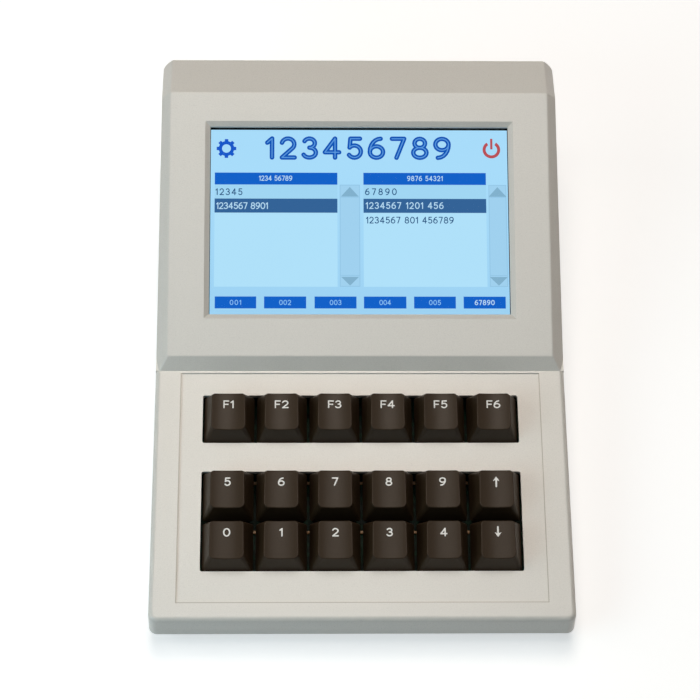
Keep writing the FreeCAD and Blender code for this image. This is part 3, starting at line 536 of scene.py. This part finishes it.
SIX = [arc(0.39, 0.3, 0.39, 0.3, 0, 360), arc(0.64, 0.3, 0.64, 0.7, 180, 90)]
GLYPHS = {
    " ": (0.3, []),
    "0": (0.84, [arc(0.42, 0.5, 0.42, 0.5, 0, 360)]),
    "1": (0.3, [bar((0, 0.78), (0.28, 1)), bar((0.28, 1), (0.28, 0))]),
    "2": (0.78, [
        arc(0.39, 0.7, 0.37, 0.3, 165, -45) + bar((0.6, 0.45), (0.03, 0)),
        bar((0.03, 0), (0.78, 0)),
    ]),
    "3": (0.72, [arc(0.34, 0.76, 0.32, 0.24, 155, -90), arc(0.34, 0.26, 0.38, 0.26, 90, -155)]),
    "4": (0.84, [bar((0.6, 0), (0.6, 1)), bar((0.6, 1), (0, 0.28)), bar((0, 0.28), (0.84, 0.28))]),
    "5": (0.75, [
        bar((0.7, 1), (0.14, 1)),
        bar((0.14, 1), (0.09, 0.53)),
        arc(0.37, 0.32, 0.38, 0.32, 138, -147),
    ]),
    "6": (0.78, SIX),
    "7": (0.72, [bar((0, 1), (0.72, 1)), bar((0.72, 1), (0.26, 0))]),
    "8": (0.78, [arc(0.39, 0.76, 0.31, 0.24, 0, 360), arc(0.39, 0.265, 0.39, 0.265, 0, 360)]),
    "9": (0.78, turned_half(SIX, 0.78)),
    "F": (0.66, [bar((0, 0), (0, 1)), bar((0, 1), (0.66, 1)), bar((0, 0.5), (0.56, 0.5))]),
}


def across(points, number, closed):
    """Unit vector to the left of the path at one of its points."""
    last = len(points) - 1
    before = points[last - 1 if closed and number == 0 else max(number - 1, 0)]
    after = points[1 if closed and number == last else min(number + 1, last)]
    run = Vector(after) - Vector(before)
    return Vector((-run.y, run.x)).normalized()


def add_stroke(shape, points, width, low, high):
    """Solid stroke with rounded ends along the points, or a ring where they close."""
    closed = (Vector(points[0]) - Vector(points[-1])).length < width / 100
    sections = []
    for number, point in enumerate(points):
        side = across(points, number, closed) * (width / 2)
        sections.append((Vector(point) + side, Vector(point) - side))
    if closed:
        sections.pop()
    else:
        for end, share in ((0, -1), (-1, 1)):
            left, right = sections[end]
            middle = (left + right) / 2
            out = (left - right).orthogonal() * share / 2
            cap = []
            for step in range(1, CAP_STEPS):
                angle = math.pi / 2 * step / CAP_STEPS
                reach = -out * math.sin(angle)
                half = (left - right) / 2 * math.cos(angle)
                cap.append((middle + reach + half, middle + reach - half))
            sections = sections + cap if end else cap[::-1] + sections
    rings = []
    for left, right in sections:
        rings.append([shape.verts.new((*corner, z)) for z in (low, high) for corner in (left, right)])
    pairs = list(zip(rings, rings[1:] + rings[:1] if closed else rings[1:]))
    for one, two in pairs:
        for first, second in ((0, 1), (1, 3), (3, 2), (2, 0)):
            shape.faces.new((one[first], one[second], two[second], two[first]))
    if not closed:
        for ring_end in (rings[0], rings[-1]):
            shape.faces.new((ring_end[0], ring_end[1], ring_end[3], ring_end[2]))


def lettering(name, words, height, width, span, levels, stretch=1.0):
    """Mesh of the words in strokes of that width, centred on the origin and span wide in all."""
    size = height - width
    taken = sum(GLYPHS[letter][0] for letter in words) * size * stretch
    spacing = (span - width - taken) / max(len(words) - 1, 1)
    low, high = levels
    shape = bmesh.new()
    place = (width - span) / 2 if len(words) > 1 else -taken / 2
    layer = 0
    for letter in words:
        glyph_width, strokes = GLYPHS[letter]
        for stroke in strokes:
            points = [(place + x * size * stretch, y * size - size / 2) for x, y in stroke]
            add_stroke(shape, points, width, low, high + STROKE_LIFT * (layer % STROKE_LIFTS))
            layer += 1
        place += glyph_width * size * stretch + spacing
    bmesh.ops.recalc_face_normals(shape, faces=shape.faces)
    return finished(shape, name)


# ---- Key legends ----
ARROW_HALF = 1.85
ARROW_HEAD = 1.7
ARROW_NOTCH = 0.35
ARROW_BARB = 1.2
ARROW_WIDTH = 0.6
DIGIT_HEIGHT = 3.15
LABEL_HEIGHT = 3.0
DIGIT_STROKE = 0.5
LABEL_STROKE = 0.46
LABEL_GAP = 0.85
DIGIT_STRETCH = 0.93


def cap_surface(x, y):
    """Height of the hollow in a keycap's top, in the frame of its switch."""
    tilt = math.radians(CAP_TILT)
    axis_height = CAP_HOLLOW_HEIGHT + CAP_HOLLOW_RADIUS + (y - CAP_TOP_MIDDLE) * math.tan(tilt)
    return axis_height - math.sqrt(CAP_HOLLOW_RADIUS ** 2 - x ** 2) / math.cos(tilt)


def arrow_mesh(name, upwards):
    """Arrow with a solid head and a round-ended shaft."""
    side = 1 if upwards else -1
    tip = side * ARROW_HALF
    neck = side * (ARROW_HALF - ARROW_HEAD)
    shape = bmesh.new()
    add_stroke(shape, bar((0, -tip), (0, tip - side * ARROW_WIDTH)), ARROW_WIDTH, *LEGEND_LEVELS)
    rings = []
    for z in LEGEND_LEVELS:
        corners = ((-ARROW_BARB, neck), (0, neck + side * ARROW_NOTCH), (ARROW_BARB, neck), (0, tip))
        rings.append([shape.verts.new((x, y, z + STROKE_LIFT)) for x, y in corners])
    add_walls(shape, *rings)
    for left, notch, right, point in rings:
        shape.faces.new((notch, left, point))
        shape.faces.new((notch, right, point))
    bmesh.ops.recalc_face_normals(shape, faces=shape.faces)
    return finished(shape, name)


def label_span(words):
    """Width of a label whose letters stand LABEL_GAP apart."""
    letters = sum(GLYPHS[letter][0] for letter in words) * (LABEL_HEIGHT - LABEL_STROKE)
    return LABEL_STROKE + letters + LABEL_GAP * (len(words) - 1)


def add_legend(row, column, name):
    """White legend laid on the hollow in its keycap's top."""
    piece = "legend_" + name
    if name in ("up", "down"):
        mesh = arrow_mesh(piece, name == "up")
    elif name.startswith("f"):
        words = name.upper()
        mesh = lettering(piece, words, LABEL_HEIGHT, LABEL_STROKE, label_span(words), LEGEND_LEVELS)
    else:
        sizes = (DIGIT_HEIGHT, DIGIT_STROKE, DIGIT_HEIGHT)
        mesh = lettering(piece, name, *sizes, LEGEND_LEVELS, DIGIT_STRETCH)
    middle = CAP_TOP_REAR - LEGEND_DOWN
    for vertex in mesh.vertices:
        x = vertex.co.x
        y = vertex.co.y + middle
        vertex.co = Vector((x, y, cap_surface(x, y) + vertex.co.z))
    mesh.transform(key_frame(row, column) @ Matrix.Scale(MM, 4))
    make_object(piece, mesh, LEGEND, "key_" + name)


for row, names in enumerate(KEY_NAMES):
    for column, name in enumerate(names):
        add_legend(row, column, name)


# ---- Display ----
def screen_panel():
    """The lit panel, a hair thinner than its node so that the image has room under the glass."""
    x_half, y_half = PANEL_HALF
    shape = bmesh.new()
    add_slab(shape, rectangle(-x_half, y_half, x_half, -y_half), -PANEL_THICKNESS, -PANEL_GAP)
    bmesh.ops.recalc_face_normals(shape, faces=shape.faces)
    bmesh.ops.bevel(shape, geom=list(shape.edges), offset=PANEL_EDGE * MM,
                    segments=PANEL_EDGE_STEPS, affect="EDGES")
    mesh = finished(shape, "screen_panel")
    panel = make_object("screen_panel", mesh, LOOKS["lcd_screen"], "case")
    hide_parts("lcd_panel")


def screen_text(name, words, ends, y, sizes, material, level=3):
    """Lettering on the display between two ends; sizes are its height, stroke and stretch."""
    left, right = ends
    height, stroke, stretch = sizes
    mesh = lettering(name, words, height, stroke, right - left, image_levels(level), stretch)
    mesh.transform(SCREEN @ Matrix.Scale(MM, 4) @ Matrix.Translation(((left + right) / 2, y, 0)))
    make_object(name, mesh, material, "case")


GEAR_TEETH = 8
GEAR_RIM = 0.78                # of the radius at the teeth's tips
GEAR_ROOT = 0.74
GEAR_ROOT_ANGLE = 0.26         # half a tooth at its root and at its tip, in radians
GEAR_TIP_ANGLE = 0.17


def gear_outlines(x, y, inner, outer):
    """Cog wheel: a ring with teeth whose tips are narrower than their roots."""
    root = outer * GEAR_ROOT
    tooth = (
        (root, GEAR_ROOT_ANGLE),
        (outer, GEAR_TIP_ANGLE),
        (outer, -GEAR_TIP_ANGLE),
        (root, -GEAR_ROOT_ANGLE),
    )
    quads = ring(x, y, inner, outer * GEAR_RIM)
    for number in range(GEAR_TEETH):
        angle = 2 * math.pi * number / GEAR_TEETH
        corners = []
        for radius, half in tooth:
            here = angle + half
            corners.append((x + radius * math.cos(here), y + radius * math.sin(here)))
        quads.append(corners)
    return quads


# Places are measured from the display's middle. A pair is left and right, or top and bottom.
# SIZES are a height, a stroke and a stretch; GEAR and POWER_RING are x, y and two radii.
EDGE_X = 58.3
EDGE_TOP = 38.6
IMAGE_TOP = 35.35
IMAGE_SIDE = 55.35
IMAGE_BOTTOM = -35.7
LIST_TOP = 14.2
LIST_BOTTOM = -24.8
HEADER_TOP = 18.8
LEFT_LIST = (-53.8, -8.2)
RIGHT_LIST = (1.5, 47.2)
LEFT_BAR = (-7.35, 0.2)
RIGHT_BAR = (48.1, 54.8)
SELECTED_ROW = (8.8, 3.4)
SCROLL_TRACK = (9.25, -20.35)
SCROLL_LINE = 0.3
ARROW_SIDE = 3.3
UPPER_ARROW = (13.35, 9.65)
LOWER_ARROW = (-21.05, -24.35)
BUTTON_TOP = -28.5
BUTTON_BOTTOM = -33.0
BUTTONS = (
    (-53.45, -38.2),
    (-35.3, -19.8),
    (-16.7, -1.25),
    (1.5, 17.15),
    (20.0, 35.4),
    (38.3, 53.85),
)
TITLE_WORDS = "123456789"
TITLE_ENDS = (-35.2, 34.3)
TITLE_Y = 28.35
TITLE_SIZES = (9.1, 1.75, 0.86)
INNER_LINE = 0.39
GEAR = (-49.55, 28.1, 1.65, 3.7)
POWER_RING = (49.45, 27.8, 2.15, 3.3)
POWER_ANGLES = (122.0, 418.0)
POWER_BAR = (49.03, 32.1, 49.87, 28.0)
HEADER_SIZES = (2.0, 0.28, 0.7)
HEADER_WORDS = (
    ("header_left", "1234 56789", (-37.4, -25.0), 16.65),
    ("header_right", "9876 54321", (17.8, 31.1), 16.65),
)
ROW_SIZES = (2.6, 0.34, 0.75)
ROW_WORDS = (
    ("row_left", "12345", (-53.5, -43.5), 11.4, SCREEN_DARK),
    ("row_left_selected", "1234567 8901", (-53.2, -34.0), 6.05, SCREEN_ROW_WORDS),
    ("row_right", "67890", (2.1, 13.9), 11.5, SCREEN_DARK),
    ("row_right_selected", "1234567 1201 456", (2.3, 31.3), 6.2, SCREEN_ROW_WORDS),
    ("row_right_last", "1234567 801 456789", (2.4, 35.0), 0.6, SCREEN_DARK),
)
BUTTON_WORDS_Y = (BUTTON_TOP + BUTTON_BOTTOM) / 2
BUTTON_WORDS_HEIGHT = 1.95
BUTTON_WORDS_STRETCH = 0.75
BUTTON_WORDS = (
    ("001", 4.2, 0.26, SCREEN_FAINT_WORDS),
    ("002", 4.4, 0.26, SCREEN_FAINT_WORDS),
    ("003", 4.3, 0.26, SCREEN_FAINT_WORDS),
    ("004", 4.3, 0.26, SCREEN_FAINT_WORDS),
    ("005", 4.4, 0.26, SCREEN_FAINT_WORDS),
    ("67890", 7.4, 0.3, SCREEN_WORDS),
)


def frame_lines(left, top, right, bottom, width):
    """Four thin bars just inside a rectangle."""
    return [
        rectangle(left, top, right, top - width),
        rectangle(left, bottom + width, right, bottom),
        rectangle(left, top - width, left + width, bottom + width),
        rectangle(right - width, top - width, right, bottom + width),
    ]


def screen_lists():
    """The two lists with their header bars, first rows and selected rows."""
    areas = {"lists": [], "first_rows": [], "headers": [], "selected_rows": []}
    for left, right in (LEFT_LIST, RIGHT_LIST):
        areas["lists"].append(rectangle(left, LIST_TOP, right, LIST_BOTTOM))
        areas["first_rows"].append(rectangle(left, LIST_TOP, right, SELECTED_ROW[0]))
        areas["headers"].append(rectangle(left, HEADER_TOP, right, LIST_TOP))
        areas["selected_rows"].append(rectangle(left, SELECTED_ROW[0], right, SELECTED_ROW[1]))
    plates("screen_lists", areas["lists"], 0, SCREEN_LIST)
    plates("screen_first_rows", areas["first_rows"], 1, SCREEN_FIRST_ROW)
    plates("screen_headers", areas["headers"], 2, SCREEN_BLUE)
    plates("screen_selected_rows", areas["selected_rows"], 2, SCREEN_SELECTED)
    for name, words, ends, y in HEADER_WORDS:
        screen_text(name, words, ends, y, HEADER_SIZES, SCREEN_WORDS)
    for name, words, ends, y, material in ROW_WORDS:
        screen_text(name, words, ends, y, ROW_SIZES, material)


def screen_scroll_bars():
    """A track with an arrow in a frame at each end, right of each list."""
    tracks = []
    lines = []
    arrows = []
    for left, right in (LEFT_BAR, RIGHT_BAR):
        tracks.append(rectangle(left, LIST_TOP, right, LIST_BOTTOM))
        lines += frame_lines(left, LIST_TOP, right, SCROLL_TRACK[0], SCROLL_LINE)
        lines += frame_lines(left, SCROLL_TRACK[1], right, LIST_BOTTOM, SCROLL_LINE)
        lines.append(rectangle(left, SCROLL_TRACK[0], left + SCROLL_LINE, SCROLL_TRACK[1]))
        lines.append(rectangle(right - SCROLL_LINE, SCROLL_TRACK[0], right, SCROLL_TRACK[1]))
        middle = (left + right) / 2
        first, last = middle - ARROW_SIDE, middle + ARROW_SIDE
        top, bottom = UPPER_ARROW
        arrows.append([(first, bottom), (last, bottom), (middle, top)])
        top, bottom = LOWER_ARROW
        arrows.append([(first, top), (middle, bottom), (last, top)])
    plates("screen_scroll_bars", tracks, 1, SCREEN_SCROLL)
    plates("screen_scroll_lines", lines, 2, SCREEN_SCROLL_LINE)
    plates("screen_arrows", arrows, 2, SCREEN_ARROW)


def screen_buttons():
    """The row of buttons along the bottom, each with its number."""
    areas = [rectangle(left, BUTTON_TOP, right, BUTTON_BOTTOM) for left, right in BUTTONS]
    plates("screen_buttons", areas, 1, SCREEN_BLUE)
    for number, (words, span, stroke, material) in enumerate(BUTTON_WORDS):
        middle = sum(BUTTONS[number]) / 2
        ends = (middle - span / 2, middle + span / 2)
        sizes = (BUTTON_WORDS_HEIGHT, stroke, BUTTON_WORDS_STRETCH)
        screen_text("button_" + str(number + 1), words, ends, BUTTON_WORDS_Y, sizes, material)


def screen_title():
    """Title in strokes with a paler line along their middle, between a gear and a power sign."""
    height, stroke, stretch = TITLE_SIZES
    left, right = TITLE_ENDS
    inset = (stroke - INNER_LINE) / 2
    inner_ends = (left + inset, right - inset)
    inner_sizes = (height - 2 * inset, INNER_LINE, stretch)
    screen_text("screen_title", TITLE_WORDS, TITLE_ENDS, TITLE_Y, TITLE_SIZES, SCREEN_TITLE, 1)
    screen_text("screen_title_inner", TITLE_WORDS, inner_ends, TITLE_Y, inner_sizes, SCREEN_TITLE_INNER, 2)
    plates("screen_gear", gear_outlines(*GEAR), 2, SCREEN_GEAR)
    power = ring(*POWER_RING, *POWER_ANGLES)
    power.append(rectangle(*POWER_BAR))
    plates("screen_power", power, 2, SCREEN_RED)


def screen_edge():
    """Dark edge of the panel outside the image."""
    areas = [
        rectangle(-EDGE_X, EDGE_TOP, EDGE_X, IMAGE_TOP),
        rectangle(-EDGE_X, IMAGE_TOP, -IMAGE_SIDE, IMAGE_BOTTOM),
        rectangle(IMAGE_SIDE, IMAGE_TOP, EDGE_X, IMAGE_BOTTOM),
        rectangle(-EDGE_X, IMAGE_BOTTOM, EDGE_X, -EDGE_TOP),
    ]
    plates("screen_edge", areas, 1, LOOKS["gasket_foam"])


screen_panel()
screen_lists()
screen_scroll_bars()
screen_buttons()
screen_title()
screen_edge()


# ---- Camera, at the viewing angle of the picture ----
VIEW_TILT = 31.0
VIEW_YAW = 2.603
VIEW_ROLL = 2.256
VIEW_DISTANCE = 851.4
VIEW_TARGET = (0.0, -6.928, 43.89)
PICTURE_SIZE = 700
FOCAL_PIXELS = 2354.6
SENSOR = 36.0
OFFSET_PIXELS = (-10.92, -11.6)
NEAREST_SEEN = 10.0


def add_camera():
    """Camera that looks at the target, turned by tilt, yaw and roll."""
    tilt, yaw, roll = (math.radians(angle) for angle in (VIEW_TILT, VIEW_YAW, VIEW_ROLL))
    ahead = Vector((math.sin(yaw) * math.sin(tilt), math.cos(yaw) * math.sin(tilt), -math.cos(tilt)))
    right = Vector((math.cos(yaw), -math.sin(yaw), 0))
    up = right.cross(ahead)
    turned_right = math.cos(roll) * right + math.sin(roll) * up
    turned_up = -math.sin(roll) * right + math.cos(roll) * up
    data = bpy.data.cameras.new("camera")
    data.sensor_width = SENSOR
    data.lens = FOCAL_PIXELS * SENSOR / PICTURE_SIZE
    data.shift_x = OFFSET_PIXELS[0] / PICTURE_SIZE
    data.shift_y = OFFSET_PIXELS[1] / PICTURE_SIZE
    data.clip_start = NEAREST_SEEN * MM
    camera = bpy.data.objects.new("camera", data)
    bpy.context.scene.collection.objects.link(camera)
    turn = Matrix((turned_right, turned_up, -ahead)).transposed().to_4x4()
    place = (Vector(VIEW_TARGET) - VIEW_DISTANCE * ahead) * MM
    camera.matrix_world = Matrix.Translation(place) @ turn
    bpy.context.scene.camera = camera


add_camera()

# ---- Light, with lengths in metres: name, place, diameter, watts and colour of each lamp ----
REAR_LAMP = ((0.0, 0.52, 1.51), 0.6, 7.0, (1.0, 0.88, 0.76))
LAMPS = (
    ("overhead", (0.0, 0.0, 1.6), 0.9, 7.4, (1.0, 0.96, 0.92)),
    ("over_rear", *REAR_LAMP),
    ("over_rear_shell", *REAR_LAMP),
    ("left", (-0.6, -0.05, 0.45), 0.5, 0.75, (1.0, 0.96, 0.94)),
    ("left_front", (-0.45, -0.35, 0.4), 0.4, 1.1, (0.5, 0.85, 1.0)),
)
LAMP_TARGET = (0.0, 0.0, 0.03)
AMBIENT = (0.022, 0.028, 0.03, 1.0)
FLOOR_COLOUR = (0.75, 0.75, 0.75, 1.0)
FLOOR_GLOW = 0.52
FLOOR_HALF = 4.0
FLOOR_ROUGHNESS = 0.9


def link_light(lamp, role, pieces, state):
    """Lamp's light, or its shadows, for these pieces alone or for all the others."""
    group = bpy.data.collections.new(lamp.name + "_" + role)
    for piece in pieces:
        group.objects.link(piece)
    for item in group.collection_objects:
        item.light_linking.link_state = state
    setattr(lamp.light_linking, role, group)


def share_light():
    """The touch glass mirrors no lamp, and the rear lamp's twin lights the top shell in its place.

    The keys cast no shadow in the twin's light.
    """
    shell = bpy.data.objects["top_shell"]
    glass = bpy.data.objects["touch_glass"]
    moving = ("keycap", "switch_stem", "legend")
    keys = [piece for piece in bpy.data.objects if piece.name.startswith(moving)]
    for name in ("overhead", "left", "left_front"):
        link_light(bpy.data.objects[name], "receiver_collection", [glass], "EXCLUDE")
    link_light(bpy.data.objects["over_rear"], "receiver_collection", [shell, glass], "EXCLUDE")
    twin = bpy.data.objects["over_rear_shell"]
    link_light(twin, "receiver_collection", [shell], "INCLUDE")
    link_light(twin, "blocker_collection", keys, "EXCLUDE")


def add_lamps():
    """The lamps of the table, each turned towards the object."""
    for name, place, size, watts, colour in LAMPS:
        data = bpy.data.lights.new(name, "AREA")
        data.shape = "DISK"
        data.size = size
        data.energy = watts
        data.color = colour
        lamp = bpy.data.objects.new(name, data)
        bpy.context.scene.collection.objects.link(lamp)
        lamp.location = place
        lamp.rotation_euler = (Vector(place) - Vector(LAMP_TARGET)).to_track_quat("Z", "Y").to_euler()


def seen_directly(tree):
    """1 for camera, glossy and transmission rays, 0 for the rest."""
    paths = tree.nodes.new("ShaderNodeLightPath")
    total = paths.outputs["Is Camera Ray"]
    for name in ("Is Glossy Ray", "Is Transmission Ray"):
        larger = tree.nodes.new("ShaderNodeMath")
        larger.operation = "MAXIMUM"
        tree.links.new(total, larger.inputs[0])
        tree.links.new(paths.outputs[name], larger.inputs[1])
        total = larger.outputs[0]
    return total


def add_world():
    """White to look at, and a faint even light on the object."""
    world = bpy.data.worlds.new("studio")
    bpy.context.scene.world = world
    world.use_nodes = True
    tree = world.node_tree
    tree.nodes.clear()
    out = tree.nodes.new("ShaderNodeOutputWorld")
    seen = tree.nodes.new("ShaderNodeBackground")
    seen.inputs["Color"].default_value = WHITE
    light = tree.nodes.new("ShaderNodeBackground")
    light.inputs["Color"].default_value = AMBIENT
    choose = tree.nodes.new("ShaderNodeMixShader")
    tree.links.new(seen_directly(tree), choose.inputs[0])
    tree.links.new(light.outputs[0], choose.inputs[1])
    tree.links.new(seen.outputs[0], choose.inputs[2])
    tree.links.new(choose.outputs[0], out.inputs["Surface"])


def add_floor():
    """White floor that keeps the shadow: a little of its own light for what sees it."""
    mesh = bpy.data.meshes.new("floor")
    corners = rectangle(-FLOOR_HALF, FLOOR_HALF, FLOOR_HALF, -FLOOR_HALF)
    mesh.from_pydata([(x, y, 0.0) for x, y in corners], [], [(0, 1, 2, 3)])
    floor = bpy.data.objects.new("floor", mesh)
    bpy.context.scene.collection.objects.link(floor)
    material = bpy.data.materials.new("floor")
    material.use_nodes = True
    tree = material.node_tree
    shader = tree.nodes["Principled BSDF"]
    shader.inputs["Base Color"].default_value = FLOOR_COLOUR
    shader.inputs["Roughness"].default_value = FLOOR_ROUGHNESS
    shader.inputs["Specular IOR Level"].default_value = 0.0
    shader.inputs["Emission Color"].default_value = WHITE
    glow = tree.nodes.new("ShaderNodeMath")
    glow.operation = "MULTIPLY"
    glow.inputs[1].default_value = FLOOR_GLOW
    tree.links.new(seen_directly(tree), glow.inputs[0])
    tree.links.new(glow.outputs[0], shader.inputs["Emission Strength"])
    mesh.materials.append(material)


add_lamps()
share_light()
add_world()
add_floor()
bpy.context.scene.view_settings.view_transform = "Standard"
